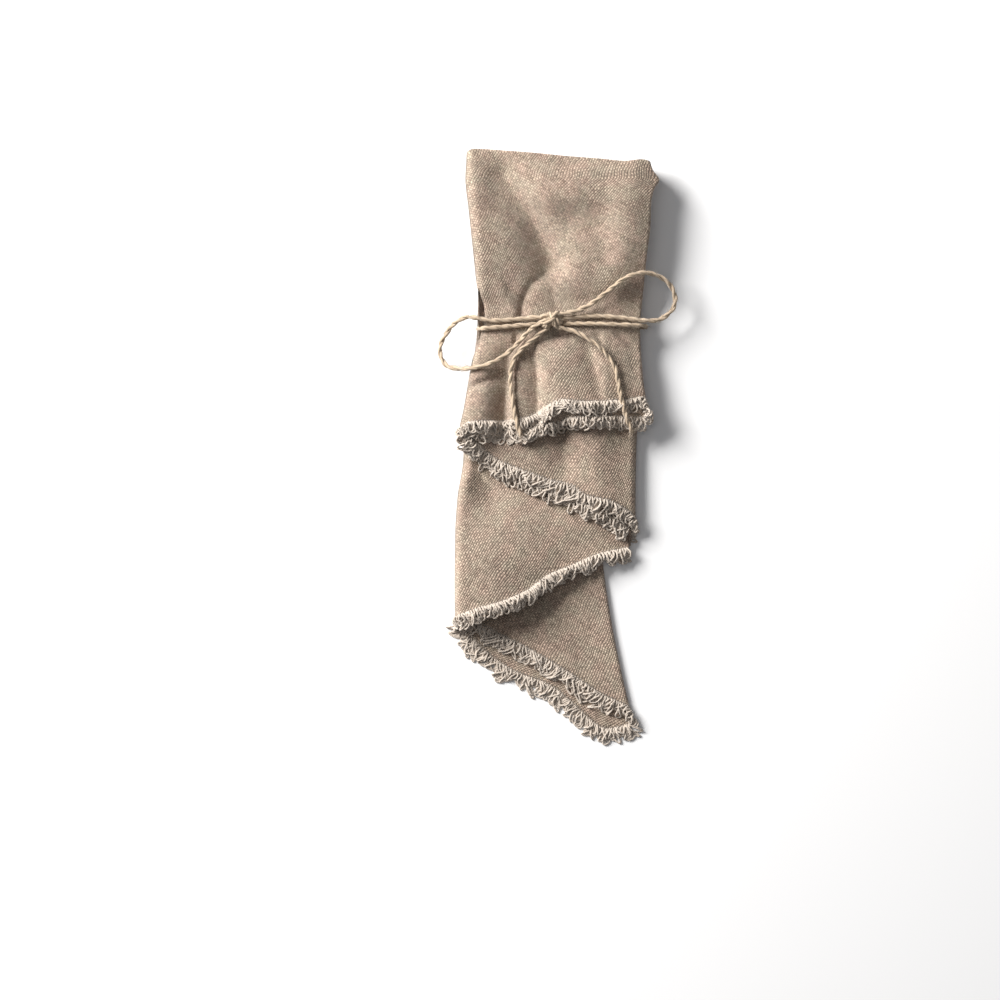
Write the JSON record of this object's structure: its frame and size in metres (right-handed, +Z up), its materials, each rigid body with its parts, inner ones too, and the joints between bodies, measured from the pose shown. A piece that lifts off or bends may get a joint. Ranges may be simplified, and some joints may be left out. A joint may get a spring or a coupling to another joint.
{
  "type": "folded cloth napkin tied with twine",
  "caption": "Cloth napkin with a short looped fringe, folded and pleated into a narrow stack whose hem steps down in a zigzag, tied round its middle with a bow of jute twine.",
  "frame": {"origin": "on the table, under the middle of the cloth and its fringe, leaving the twine out", "axes": "+Y along the bundle towards its folded top edge, +X to the right as seen from above with the top edge away, +Z up"},
  "size_m": [0.1075, 0.2659, 0.0197],
  "materials": {
    "cloth": "matt heathered plain weave in warm grey beige",
    "fringe": "matt looped yarn, a little lighter than the cloth",
    "twine": "rough two-ply jute in a straw colour"
  },
  "bodies": {
    "root": {"napkin": "cloth", "fringe_1": "fringe", "fringe_2": "fringe", "fringe_3": "fringe", "fringe_4": "fringe", "fringe_5": "fringe", "fringe_6": "fringe", "fringe_7_left": "fringe", "fringe_7_right": "fringe", "fringe_8": "fringe", "twine_band": "twine", "twine_knot": "twine", "twine_loop_left": "twine", "twine_loop_right": "twine", "twine_tail_left": "twine", "twine_tail_right": "twine"}
  },
  "joints": []
}
